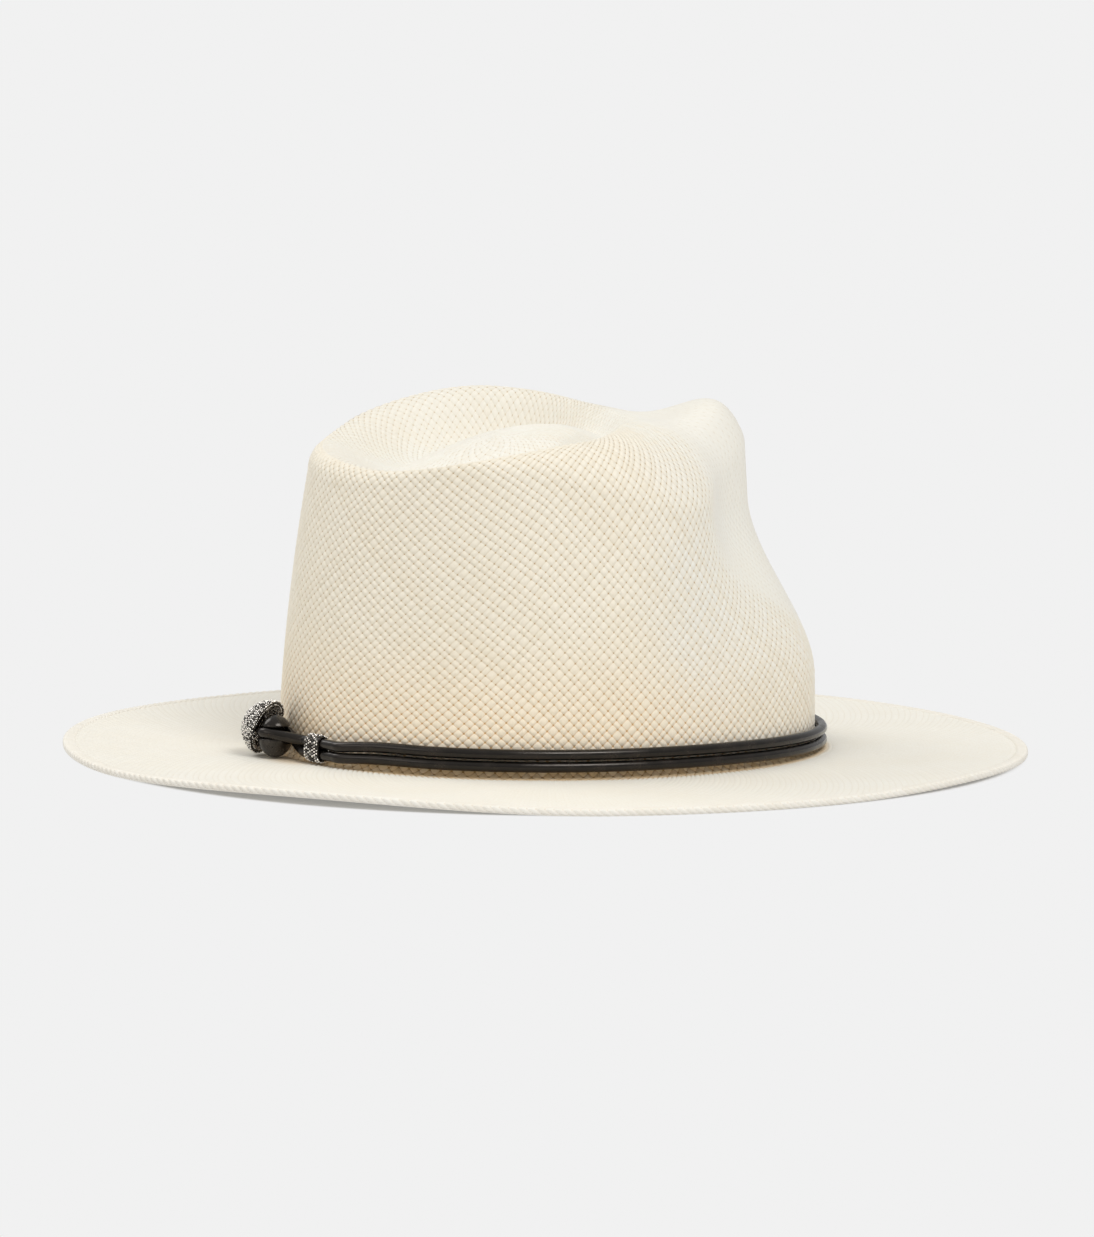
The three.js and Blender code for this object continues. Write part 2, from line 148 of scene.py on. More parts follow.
def shoulder_point(angle, share):
    """Radius and height on the rounding between wall (share 0) and crest (share 1)."""
    nose = bump(from_front(angle), 0, 36)
    low = shoulder_start(angle)
    turn = share * np.pi / 2
    power = 0.95 + 0.3 * bump(from_front(angle), 58, 34) - 0.25 * nose
    across = 1 - np.clip(np.cos(turn), 0, 1) ** power
    rise = NOSE_RISE * nose * np.sin(np.pi * across ** 0.6) ** 2
    radius = lerp(wall_radius(angle, low), crest_radius(angle), across)
    return radius, lerp(low, crest_height(angle), np.sin(turn) ** power) + rise


def crease_height(angle, share):
    """Height inside the crest, at a share of its radius: a channel round a raised mound."""
    crest = crest_height(angle)
    side = np.exp(-(((from_front(angle) - 105) / 38) ** 2))
    floor = crest - CHANNEL_FRONT - CHANNEL_SIDE * side
    climb = np.clip(1 - (share / CHANNEL_AT) ** 2, 0, 1)
    inside = lerp(floor, MOUND, climb ** 1.15)
    outside = lerp(floor, crest, step(share, CHANNEL_AT, 1))
    return np.where(share > CHANNEL_AT, outside, inside)


def edge_lift(angle):
    return sum(lift * bump(angle, centre, half) for centre, half, lift in BRIM_WAVES)


def edge_radius(angle):
    return oval_radius(angle, BRIM_WIDTH)


def polar(angle, radius, height):
    a = np.radians(angle)
    return np.stack([radius * np.cos(a), radius * np.sin(a), height + 0 * radius], axis=-1)


TOP_CENTRE = np.array([-25.0, 0.0])  # the middle of the crown's tip, where its weaving began


def top_surface(angle, share):
    """The crown's tip, from its middle (share 0) to the crest (share 1)."""
    rim = polar(angle, crest_radius(angle), 0 * angle)[..., :2]
    flat = TOP_CENTRE + (rim - TOP_CENTRE) * share[..., None]
    radius = np.hypot(flat[..., 0], flat[..., 1])
    turn = np.degrees(np.arctan2(flat[..., 1], flat[..., 0]))
    height = crease_height(turn, radius / crest_radius(turn)) + BRIM_TOP
    return np.concatenate([flat, height[..., None]], axis=-1)


def side_profile(angle):
    """Points down the crown's side at each angle: shoulder, wall and the bend into the brim."""
    start = shoulder_start(angle)
    rows = [shoulder_point(angle, np.full_like(angle, share))
            for share in np.linspace(1, 0, 60, endpoint=False)]
    heights = [lerp(start, FILLET, share) for share in np.linspace(0, 1, 120, endpoint=False)]
    rows += [(wall_radius(angle, height), height) for height in heights]
    rows += [(crown_base(angle) + FILLET * (1 - math.cos(turn)), FILLET * (1 - math.sin(turn)))
             for turn in np.linspace(0, np.pi / 2, 12)]
    return np.stack([polar(angle, radius, height + BRIM_TOP) for radius, height in rows], axis=1)


SIDE_ROWS, SIDE_COUNT = 68, 144  # rows of the weave on the crown's side, and crossings in a row
ROW_PITCH = 1.9  # how far apart those rows are near the brim, all the way round


def spread_rows(points, count):
    """The same profiles cut at steps that are even near the brim and grow towards a far crest."""
    length = np.linalg.norm(np.diff(points, axis=1), axis=2)
    from_brim = np.linspace(1, 0, count)
    out = []
    for profile, steps in zip(points, length):
        along = np.concatenate([[0], np.cumsum(steps)])
        whole = along[-1]
        even = min(ROW_PITCH * SIDE_ROWS, whole)
        at = whole - even * from_brim - (whole - even) * from_brim ** 4
        out.append(np.stack([np.interp(at, along, axis) for axis in profile.T], axis=-1))
    return np.array(out)


TABLE_ANGLES = 1440
TABLE_ROWS = 500
side_table = spread_rows(side_profile(around(TABLE_ANGLES)), TABLE_ROWS)


def side_surface(angle, share):
    """The crown's side, from the crest (share 0) to the brim (share 1)."""
    a = np.mod(angle, 360) * TABLE_ANGLES / 360
    s = np.clip(share, 0, 1) * (TABLE_ROWS - 1)
    i = np.floor(a).astype(int) % TABLE_ANGLES
    j = np.minimum(np.floor(s).astype(int), TABLE_ROWS - 2)
    fa = (a - np.floor(a))[..., None]
    upper, lower = [lerp(side_table[i, row], side_table[(i + 1) % TABLE_ANGLES, row], fa)
                    for row in (j, j + 1)]
    return lerp(upper, lower, (s - j)[..., None])


TUCK, TUCK_RISE = 1.2, 0.45  # how far the brim's straw reaches into its edge braid, and up in it


def brim_surface(angle, share):
    """The brim's upper face, from the crown (share 0) into the edge braid (share 1)."""
    inner = crown_base(angle) + FILLET
    outer = edge_radius(angle) - EDGE_WIDTH + TUCK
    top = edge_lift(angle) + (EDGE_HEIGHT + STRAW) / 2 + TUCK_RISE
    return polar(angle, lerp(inner, outer, share), lerp(BRIM_TOP, top, share * share))


# ---- meshes

def add_object(name, data):
    thing = bpy.data.objects.new(name, data)
    bpy.context.scene.collection.objects.link(thing)
    return thing


def make_mesh(name, vertices, face_arrays, replaced, body="hat"):
    """A piece from vertices in millimetres and arrays of faces. It rides on a body and hides CAD nodes."""
    mesh = bpy.data.meshes.new(name)
    corners = np.concatenate([faces.ravel() for faces in face_arrays])
    sizes = np.concatenate([np.full(len(faces), faces.shape[1]) for faces in face_arrays])
    starts = np.concatenate([[0], np.cumsum(sizes)[:-1]])
    mesh.vertices.add(len(vertices))
    mesh.vertices.foreach_set("co", (np.asarray(vertices) * MM).astype(np.float32).ravel())
    mesh.loops.add(len(corners))
    mesh.loops.foreach_set("vertex_index", corners.astype(np.int32))
    mesh.polygons.add(len(sizes))
    mesh.polygons.foreach_set("loop_start", starts.astype(np.int32))
    mesh.polygons.foreach_set("use_smooth", np.full(len(sizes), True))
    mesh.update(calc_edges=True)
    piece = add_object(name, mesh)
    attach(piece, body)
    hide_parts(*replaced)
    return piece


def add_attribute(piece, name, values):
    layer = piece.data.attributes.new(name, "FLOAT", "POINT")
    layer.data.foreach_set("value", np.asarray(values, dtype=np.float32))


def add_strands(piece, places):
    """The strand coordinates of every face corner, which the straw's materials read."""
    layer = piece.data.uv_layers.new(name="strands")
    layer.data.foreach_set("uv", places.astype(np.float32).ravel())


def grid_faces(rows, columns, closed_rows=False, closed_columns=True):
    """Quads of a grid whose vertex (row, column) has index row * columns + column."""
    row = np.arange(rows if closed_rows else rows - 1)
    column = np.arange(columns if closed_columns else columns - 1)
    r, c = [a.ravel() for a in np.meshgrid(row, column, indexing="ij")]
    below, right = (r + 1) % rows, (c + 1) % columns
    return np.stack([r * columns + c, below * columns + c, below * columns + right,
                     r * columns + right], axis=1)


def fan(ring, tip):
    """Triangles from a ring of vertex indices to one vertex."""
    ring = np.asarray(ring)
    return np.stack([ring, np.roll(ring, -1), np.full(len(ring), tip)], axis=1)


def capped_rings(count, sides):
    """Quads and triangles of a row of rings closed at both ends. The two tips are the last vertices."""
    first = fan(np.arange(sides), count * sides)
    last = fan(np.arange(sides) + (count - 1) * sides, count * sides + 1)[:, [1, 0, 2]]
    return [grid_faces(count, sides), np.concatenate([first, last])]


def joined(shapes):
    """Many separate shapes, each with vertices, quads and triangles, as one."""
    starts = np.cumsum([0] + [len(vertices) for vertices, _ in shapes])
    faces = [np.concatenate([kinds[k] + start for (_, kinds), start in zip(shapes, starts)])
             for k in (0, 1)]
    return np.concatenate([vertices for vertices, _ in shapes]), faces


# ---- the weave

BRIM_ROWS, BRIM_COUNT = 50, 288
TIP_BANDS = ((18, 3, (0.04, 0.13)), (36, 4, (0.13, 0.27)), (72, 9, (0.27, 0.56)),
             (SIDE_COUNT, 20, (0.56, 1.0)))  # crossings in a row, rows, and shares of the way outwards
WEAVE_DEPTH = 0.42  # how far a weave height of 1 stands out
WEAVE_MIDDLE = 0.82  # the weave height that lies on the hat's surface


def weave(p, q):
    """The plain weave's height at strand coordinates, and whether family A is on top.

    Each crossing is a small pillow, rounder across the strand on top than along it.
    """
    over = np.mod(np.floor(p) + np.floor(q), 2) == 0
    off_p, off_q = np.abs(2 * (p - np.floor(p)) - 1), np.abs(2 * (q - np.floor(q)) - 1)
    along, across = np.where(over, off_p, off_q), np.where(over, off_q, off_p)
    height = (1 - 0.75 * along ** 6) * (1 - across ** 3.2)
    return height * np.where(over, 1.0, 0.85), over


def spread(values, line):
    """A value for each strand, passed over smoothly from one strand's edge to the next."""
    index = np.floor(line).astype(int)
    count = len(values)
    return lerp(values[index % count], values[(index + 1) % count], line - index)


class Zone:
    """A band of the straw with the same number of strands all the way round.

    count is the number of crossings in a row, rows the number of rows, and parts the number of mesh
    steps that one crossing gets along a strand. shares is where the band starts and ends on its surface.
    """

    def __init__(self, surface, count, rows, parts, shares=(0.0, 1.0)):
        self.surface, self.count, self.rows, self.parts = surface, count, rows, parts
        self.shares = shares
        self.shift_a, self.shift_b = random.uniform(-0.15, 0.15, (2, count))
        self.tone_a, self.tone_b = random.normal(0, 1, (2, count))

    def place(self, column, row):
        share = lerp(self.shares[0], self.shares[1], row / self.rows)
        return self.surface(column * 360 / self.count, share)

    def ring(self, k):
        """Ring k of the band: where its vertices are, and what the material needs to know."""
        parts, total = self.parts, self.rows * self.parts
        column = (np.arange(self.count * parts) + 0.5 * (k % 2)) / parts
        row = np.full_like(column, k / parts)
        p, q = column + row / 2, column - row / 2
        fade = step(min(k, total - k), 0, 2 * parts)
        move_p, move_q = spread(self.shift_b, p) * fade, spread(self.shift_a, q) * fade
        at_column, at_row = column + (move_p + move_q) / 2, row + move_p - move_q
        small = 0.05
        point = self.place(at_column, at_row)
        round_way = self.place(at_column + small, at_row) - self.place(at_column - small, at_row)
        upper, lower = np.maximum(at_row - small, 0), np.minimum(at_row + small, self.rows)
        normal = unit(np.cross(self.place(at_column, lower) - self.place(at_column, upper), round_way))
        height, over = weave(p, q)
        tone = np.where(over, self.tone_a[np.floor(q).astype(int) % self.count],
                        self.tone_b[np.floor(p).astype(int) % self.count])
        return {"point": point, "normal": normal, "height": height, "tone": tone, "p": p, "q": q,
                "column": column, "angle": column * 360 / self.count}

    def faces(self, starts, first):
        """Faces between the band's rings, one quad for each mesh step along both families."""
        n, total = self.count * self.parts, self.rows * self.parts
        m = np.arange(n)
        at = lambda k, c: starts[k - first] + c % n
        quads = []
        for k in range(first, total - 1):
            left, right = (m - 1, m) if k % 2 == 0 else (m, m + 1)
            quads.append(np.stack([at(k, m), at(k + 1, left), at(k + 2, m), at(k + 1, right)], axis=1))
        upper, lower = m + first % 2, m + total % 2
        triangles = [np.stack([at(first, m), at(first + 1, upper), at(first, m + 1)], axis=1),
                     np.stack([at(total, m), at(total, m + 1), at(total - 1, lower)], axis=1)]
        return np.concatenate(quads), np.concatenate(triangles)


def zip_rings(first_a, angles_a, first_b, angles_b):
    """Triangles between two rings with different numbers of vertices, from an upper ring to a lower."""
    count_a, count_b = len(angles_a), len(angles_b)
    faces, i, j = [], 0, 0
    while i < count_a or j < count_b:
        next_a = angles_a[(i + 1) % count_a] + 360 * ((i + 1) // count_a)
        next_b = angles_b[(j + 1) % count_b] + 360 * ((j + 1) // count_b)
        a, b = first_a + i % count_a, first_b + j % count_b
        along_a = j >= count_b or (i < count_a and next_a <= next_b)
        i, j = (i + 1, j) if along_a else (i, j + 1)
        faces.append((a, b, first_a + i % count_a if along_a else first_b + j % count_b))
    return np.array(faces)


def shading_and_wear(zone, ring, share, shade_and_stain):
    """How the straw of a ring looks, each from 0 to 1.

    press is how flat it is, the whiteness value how much paler the straw is painted where it faces the
    light (painted light, partly paler straw), warm how much painted warm bounce light it gets, and foot how
    much painted shade, with some stain, it has at the crown's foot and round the toggle, on the outside
    only.
    """
    x, y, z = ring["point"].T
    angle = np.degrees(np.arctan2(y, x))
    front = from_front(angle)
    toggle = 0.6 * bump(angle, SHADE_STAIN_ANGLE, 10)
    warm, foot = np.zeros_like(x), np.zeros_like(x)
    if zone.surface is side_surface:
        border = 52 * step(z, 30, 84) - 8 * step(z, 100, 125)
        press = (1 - step(front, border - 12, border + 8)) * step(z, 30, 50)
        # painted light: the front and its pinch are painted paler where they face the light, partly paler
        # straw
        pale_and_lit = lerp(0.74, 0.40, step(z, 70, 102)) * np.maximum(press, step(front, 95, 45))
        # painted warm bounce light: yellower towards the crown's foot, most at the back
        warm = (1 - step(z, 6, 62)) * (1 - 0.55 * step(front, 90, 35))
        # painted shade with some stain: under the cord at the crown's foot, and beside the toggle
        foot = shade_and_stain * np.maximum(1 - step(z, BRIM_TOP + 1.5, BRIM_TOP + 6),
                                    toggle * (1 - step(z, 10, 24)))
    elif zone.surface is top_surface:
        share = lerp(*zone.shares, share)
        nose = step(front, 60, 30)
        press = lerp(lerp(0.52, 0.12, step(share, 0.92, 1.0)), 0.72, nose)
        # painted light: the tip is painted paler where it faces the light from above, partly paler straw
        pale_and_lit = lerp(lerp(0.85, 0.30, step(share, 0.4, 0.8)), 0.45, nose)
    else:
        press = np.full_like(x, 0.84 * step(share, 0.02, 0.09))
        # painted light: the brim faces up and is painted paler, partly paler straw
        pale_and_lit = np.ones_like(x)
        # painted shade with some stain on the brim next to the crown and by the toggle, painted warm here
        # too
        warm = foot = shade_and_stain * np.maximum(1 - step(share, 0.0, 0.05),
                                           toggle * (1 - step(share, 0.06, 0.20)))
    return {"press": press, "pale_and_lit": pale_and_lit, "warm": warm, "foot": foot}


# the straw's own tone and pressing, with its painted light, painted warm bounce light and painted shade
SHADING_AND_WEAR = ("tone", "pale_and_lit", "press", "warm", "foot")


def straw_sheet(inside):
    """One face of the straw, from the middle of the crown's tip to the brim's edge."""
    parts, brim_parts = (2, 2) if inside else (4, 3)
    zones = [Zone(top_surface, count, rows, parts, shares) for count, rows, shares in TIP_BANDS]
    zones += [Zone(side_surface, SIDE_COUNT, SIDE_ROWS, parts),
              Zone(brim_surface, BRIM_COUNT, BRIM_ROWS, brim_parts)]
    quads, triangles, seams = [], [], []
    columns = {key: [] for key in ("vertex", "p", "q", "column", "count") + SHADING_AND_WEAR}
    used, last = 0, None
    for zone in zones:
        first = 0 if last is None else 1
        total = zone.rows * zone.parts
        starts = []
        for k in range(first, total + 1):
            ring = zone.ring(k)
            ring.update(shading_and_wear(zone, ring, k / total, 0 if inside else 1))
            ring["count"] = np.full_like(ring["p"], zone.count)
            relief = WEAVE_DEPTH * (1 - 0.8 * ring["press"]) * (1 - 0.3 * ring["warm"])
            raised = (ring["height"] - WEAVE_MIDDLE) * relief
            away = -(STRAW + 0.8 * raised) if inside else raised
            ring["vertex"] = ring["point"] + ring["normal"] * away[:, None]
            for key, values in columns.items():
                values.append(ring[key])
            starts.append(used)
            used += len(ring["p"])
            if k == first and last is not None:
                seams.append(zip_rings(*last, starts[0], ring["angle"]))
        last = (starts[-1], ring["angle"])
        zone_quads, zone_triangles = zone.faces(starts, first)
        quads.append(zone_quads)
        triangles.append(zone_triangles)
    for values in columns.values():
        values.append(values[0].mean(axis=0, keepdims=True))
    seams.append(fan(np.arange(zones[0].count * zones[0].parts), used))
    sheet = {"quads": quads, "triangles": triangles, "seams": seams, **columns}
    return {"rim": last, **{key: np.concatenate(values) for key, values in sheet.items()}}


def strand_corners(sheet, kind):
    """Strand coordinates at each corner of these faces, unbroken where the count starts again."""
    p, q, column, count = [sheet[key][sheet[kind]] for key in ("p", "q", "column", "count")]
    turn = np.where(column < column.max(axis=1, keepdims=True) - count / 2, count, 0)
    corners = np.stack([p + turn, q + turn], axis=-1)
    return np.full_like(corners, 0.5) if kind == "seams" else corners


def make_straw():
    outside, inside = straw_sheet(False), straw_sheet(True)
    offset = len(outside["vertex"])
    rim = zip_rings(*outside["rim"], inside["rim"][0] + offset, inside["rim"][1])
    both = lambda key: np.concatenate([outside[key], inside[key]])
    arrays, corners = [], []
    for kind in ("quads", "triangles", "seams"):
        arrays += [outside[kind], inside[kind][:, ::-1] + offset]
        corners += [strand_corners(outside, kind), strand_corners(inside, kind)[:, ::-1]]
    arrays.append(rim)
    corners.append(np.full(rim.shape + (2,), 0.5))
    piece = make_mesh("woven_straw", both("vertex"), arrays, ["straw_body"])
    for key in SHADING_AND_WEAR:
        add_attribute(piece, key, both(key))
    add_strands(piece, np.concatenate([c.reshape(-1, 2) for c in corners]))
    return piece


# ---- the brim's edge

EDGE_STROKES = 330  # slanted turns of the back-woven braid round the brim
STROKE_DEPTH, STROKE_SUNK = 0.50, 0.43  # a stroke's height, and how far its foot lies under the section
EDGE_POWER = 0.62  # 1 would make its section an ellipse, and less makes it boxier


def make_edge():
    """A rounded braid round the brim, with slanted strokes that leave a scalloped outline."""
    columns, sides = EDGE_STROKES * 8, 28
    section = np.arange(sides) * 2 * np.pi / sides
    a, s = np.meshgrid(around(columns), section, indexing="ij")
    across, up = np.cos(s), np.sin(s)
    x, y = [np.sign(way) * np.abs(way) ** EDGE_POWER * size / 2
            for way, size in ((across, EDGE_WIDTH), (up, EDGE_HEIGHT))]
    stroke = a * EDGE_STROKES / 360 + 2.2 * x / EDGE_WIDTH + 0.9 * up
    fine = np.abs(np.sin(np.pi * stroke)) ** 0.6
    raised = STROKE_DEPTH * fine - STROKE_SUNK
    radius = edge_radius(a) - EDGE_WIDTH / 2 + x + raised * across
    height = np.maximum(edge_lift(a) + EDGE_HEIGHT / 2 + y + raised * up, 0.02)
    faces = grid_faces(columns, sides, True)
    piece = make_mesh("edge_braid", polar(a, radius, height).reshape(-1, 3), [faces], ["brim_edge"])
    add_attribute(piece, "relief", fine.ravel())
    tone = random.normal(0, 1, EDGE_STROKES)
    add_attribute(piece, "tone", tone[np.floor(stroke).astype(int) % EDGE_STROKES].ravel())
    uv = np.stack([stroke.ravel()[faces], (s / np.pi).ravel()[faces]], axis=-1)
    turn = np.array([EDGE_STROKES, 2.0])
    uv += (uv < uv.max(axis=1, keepdims=True) - turn / 2) * turn
    add_strands(piece, uv)
    return piece


# ---- tubes and beads

def spline(points, per_gap):
    """A centripetal Catmull-Rom curve through points, with the same number of steps in each gap."""
    points = [np.asarray(p, dtype=float) for p in points]
    points = [2 * points[0] - points[1]] + points + [2 * points[-1] - points[-2]]
    out = []
    for k in range(1, len(points) - 2):
        near = points[k - 1:k + 3]
        t = np.cumsum([0] + [max(np.linalg.norm(b - a), 1e-6) ** 0.5 for a, b in zip(near, near[1:])])
        for share in np.arange(per_gap) / per_gap:
            now = lerp(t[1], t[2], share)
            a = [lerp(near[i], near[i + 1], (now - t[i]) / (t[i + 1] - t[i])) for i in range(3)]
            b = [lerp(a[i], a[i + 1], (now - t[i]) / (t[i + 2] - t[i])) for i in range(2)]
            out.append(lerp(*b, (now - t[1]) / (t[2] - t[1])))
    return np.array(out + [points[-2]])


def tube_mesh(line, radius, sides):
    """Vertices and faces of a tube along a line of points, closed by rounded ends."""
    ahead = unit(np.gradient(line, axis=0))
    side = unit(np.cross(ahead[0], [0.3, 0.2, 1.0]))
    turn = (np.arange(sides) * 2 * np.pi / sides)[:, None]
    rounding = [(share, -math.sqrt(1 - share * share)) for share in (0.35, 0.75)]
    rings = []
    for k in range(len(line)):
        side = unit(side - ahead[k] * np.dot(side, ahead[k]))
        ring = np.cos(turn) * side + np.sin(turn) * np.cross(ahead[k], side)
        sizes = [(1.0, 0.0)]
        if k == 0:
            sizes = rounding + sizes
        elif k == len(line) - 1:
            sizes += [(share, -bulge) for share, bulge in reversed(rounding)]
        rings += [line[k] + (ring * share + ahead[k] * bulge) * radius for share, bulge in sizes]
    tips = [line[0] - ahead[0] * radius, line[-1] + ahead[-1] * radius]
    quads, triangles = capped_rings(len(rings), sides)
    return np.concatenate(rings + [tips]), [quads[:, ::-1], triangles[:, [1, 0, 2]]]


def ball_points(rows, columns):
    """Unit sphere directions from pole to pole, with the two poles as the last vertices."""
    tilt = np.linspace(0, np.pi, rows + 2)[1:-1]
    turn = np.arange(columns) * 2 * np.pi / columns
    t, r = np.meshgrid(tilt, turn, indexing="ij")
    ring = np.stack([np.sin(t) * np.cos(r), np.sin(t) * np.sin(r), np.cos(t)], axis=-1).reshape(-1, 3)
    return np.concatenate([ring, [[0, 0, 1], [0, 0, -1]]]), capped_rings(rows, columns)


def make_beads(owner, centres, radii, body="hat"):
    """Small metal beads, each a slightly uneven ball, merged into one piece for the cup or the keeper."""
    shape, faces = ball_points(5, 10)
    beads, tones = [], []
    for centre, radius in zip(centres, radii):
        beads.append((centre + shape * radius * random.uniform(0.88, 1.08, 3), faces))
        # each bead's tone sets its painted reflection, from dark to bright
        tones.append(np.full(len(shape), random.uniform(0, 1)))
    rows = [f"{owner}_bead_row_{row}" for row in range(1, CAD_BEAD_ROWS + 1)]
    piece = make_mesh(f"{owner}_beads", *joined(beads), rows, body)
    add_attribute(piece, "tone", np.concatenate(tones))
    return piece


# ---- the toggle and the cord

UP = np.array([0.0, 0.0, 1.0])
BALL_RADIUS, BALL_HALF, BALL_OFFSET, TOGGLE_ANGLE = 6.6, 8.0, 9.6, 189.5
STEM_RADIUS = 1.15
LOOP_RADIUS, LOOP_RISE = 5.2, 1.7
KEEPER_ANGLE, KEEPER_OFFSET, KEEPER_HEIGHT, KEEPER_LENGTH = 200.1, 4.3, 5.95, 7.8
CAD_BEAD, CAD_BEAD_ROWS = 0.9, 7  # the beads' diameter and rows in the CAD, on cup and keeper alike
STRAND_SPACING = CORD_DIAMETER + 0.1
STRAND_UPPER, STRAND_LOWER, STRAND_DIP = 9.0, 4.5, 1.7
STRAND_OFFSET = CORD_DIAMETER / 2 + 0.75
CUP_RADIUS, CUP_SHELL, CUP_HALF_ANGLE = 11.3, 0.7, 82.0
CUP_OUTER = CUP_RADIUS - CAD_BEAD - 0.15
CUP_AXIS = unit(np.array([0.657, -0.641, -0.32]))
CUP_SIDE = unit(np.cross(CUP_AXIS, UP))
CUP_TOP = unit(np.cross(CUP_SIDE, CUP_AXIS))


def beside_crown(angle, offset, height):
    """A point this far out from the crown's wall, at a height above the brim."""
    return polar(angle, wall_radius(angle, height) + offset, BRIM_TOP + height)


BALL_SIZE = np.array([BALL_RADIUS, BALL_RADIUS, BALL_HALF])
BALL_CENTRE = beside_crown(TOGGLE_ANGLE, BALL_OFFSET, BALL_HALF + GAP)
LOOP_CENTRE = BALL_CENTRE + np.array([0, 0, LOOP_RISE])
CUP_CENTRE = BALL_CENTRE + np.array([-0.4, 6.6, LOOP_RISE])
SHADE_STAIN_ANGLE = TOGGLE_ANGLE + 3.5  # the middle of the painted shade and stain beside the toggle
KEEPER_CENTRE, ahead, behind = [beside_crown(KEEPER_ANGLE + turn, KEEPER_OFFSET, KEEPER_HEIGHT)
                                for turn in (0, -1, 1)]
LEVEL = np.array([1, 1, 0])
KEEPER_AXIS = unit((ahead - behind) * LEVEL)
KEEPER_OUT = unit(np.cross(KEEPER_AXIS, UP))


def to_keeper(along, up):
    return KEEPER_CENTRE + KEEPER_AXIS * along + UP * up


def loop_route():
    """From the keeper round the ball and back, as the cord's fold lies."""
    to_ball = unit((LOOP_CENTRE - KEEPER_CENTRE) * LEVEL)
    outwards = -np.cross(to_ball, UP)
    turns = np.radians(range(0, 181, 30))
    bend = [LOOP_CENTRE + LOOP_RADIUS * (outwards * math.cos(t) + to_ball * math.sin(t)) for t in turns]
    straight = [-13, -10, -5, 0, 5.1, 7.1]
    upper, lower = [[to_keeper(along, side * STRAND_SPACING / 2) for along in straight] for side in (1, -1)]
    return upper + bend + lower[::-1]


def strand(height):
    """One strand's points round the crown, from the keeper's side through the front to its end."""
    points = [beside_crown(angle, STRAND_OFFSET, height - STRAND_DIP * bump(angle, 0, 70))
              for angle in range(-145, 141, 15)]
    return points + [beside_crown(angle, STRAND_OFFSET + 0.2, height - 0.3) for angle in (155, 162, 168)]


def make_cord():
    line = spline(strand(STRAND_UPPER)[::-1] + loop_route() + strand(STRAND_LOWER), 14)
    return make_mesh("leather_cord", *tube_mesh(line, CORD_DIAMETER / 2, 20), ["band_cord"])


def make_ball():
    """The leather knot: two lobes with a waist that the cord's loop is drawn into."""
    directions, faces = ball_points(62, 96)
    points = directions * BALL_SIZE + BALL_CENTRE
    up = points[:, 2] - LOOP_CENTRE[2]
    out = points[:, :2] - BALL_CENTRE[:2]
    radius = np.hypot(*out.T)
    hollow = CORD_DIAMETER / 2 + 0.12
    waist = LOOP_RADIUS - np.sqrt(np.clip(hollow ** 2 - up ** 2, 0, None))
    soft = step(np.abs(up), hollow + 0.5, hollow)
    wanted = np.where(np.abs(up) < hollow, np.minimum(radius, waist), radius - 0.25 * soft)
    points[:, :2] = BALL_CENTRE[:2] + out * (wanted / np.maximum(radius, 1e-6))[:, None]
    return make_mesh("leather_knot", points, faces, ["toggle_ball"])


def make_stem():
    direction = unit(np.array([-0.35, 0.55, 0.76]))
    start = 1 / math.hypot(math.hypot(*direction[:2]) / BALL_RADIUS, direction[2] / BALL_HALF)
    offset = BALL_CENTRE - CUP_CENTRE
    along = np.dot(offset, direction)
    reach = CUP_OUTER - CUP_SHELL
    end = -along + math.sqrt(along * along - np.dot(offset, offset) + reach * reach)
    shares = np.linspace(start + 0.4, end - 0.9, 12)
    line = BALL_CENTRE + direction * shares[:, None]
    return make_mesh("knot_stem", *tube_mesh(line, STEM_RADIUS, 20), ["toggle_stem"])


def on_cup(turn, tilt, radius):
    """A point round the cup's centre: tilt is the angle from the cup's closed end."""
    t, r = np.radians(tilt), np.radians(turn)
    away = np.sin(t) * radius
    return (CUP_CENTRE - CUP_AXIS * (np.cos(t) * radius)[..., None]
            + CUP_SIDE * (np.cos(r) * away)[..., None] + CUP_TOP * (np.sin(r) * away)[..., None])


def make_cup():
    """A leather bowl with a rounded rim. The rows run from outside pole to inside pole."""
    sides = 72
    rounding = 1.5
    lip = CUP_HALF_ANGLE - rounding
    outer = [(tilt, CUP_OUTER) for tilt in np.linspace(3, lip, 26)]
    middle, half = CUP_OUTER - CUP_SHELL / 2, CUP_SHELL / 2
    rim = [(lip + rounding * math.sin(t), middle + half * math.cos(t))
           for t in np.linspace(0.4, np.pi - 0.4, 6)]
    inner = [(tilt, CUP_OUTER - CUP_SHELL) for tilt, _ in reversed(outer)]
    rows = outer + rim + inner
    turn = around(sides)
    points = [on_cup(turn, np.full(sides, tilt), np.full(sides, radius)) for tilt, radius in rows]
    poles = [on_cup(np.zeros(1), np.zeros(1), np.array([r])) for r in (CUP_OUTER, CUP_OUTER - CUP_SHELL)]
    return make_mesh("toggle_cup", np.concatenate(points + poles), capped_rings(len(rows), sides),
                     ["bead_cup"])


BEAD_RADIUS, BEAD_PITCH = 0.37, 0.78  # of the beads on the cup
BEAD_SPREAD = (0.80, 0.98)  # the smallest and largest of them, as shares of that radius
KEEPER_BEAD, KEEPER_SPREAD = 0.5, (0.76, 0.92)  # the same for the beads on the keeper


def bead_turns(radius, tilt, row):
    """Where the beads of a row sit round the cup, shifted by half a bead in every other row."""
    count = max(3, int(2 * math.pi * radius * math.sin(math.radians(tilt)) / BEAD_PITCH))
    return (np.arange(count) + 0.5 * (row % 2)) * 360 / count


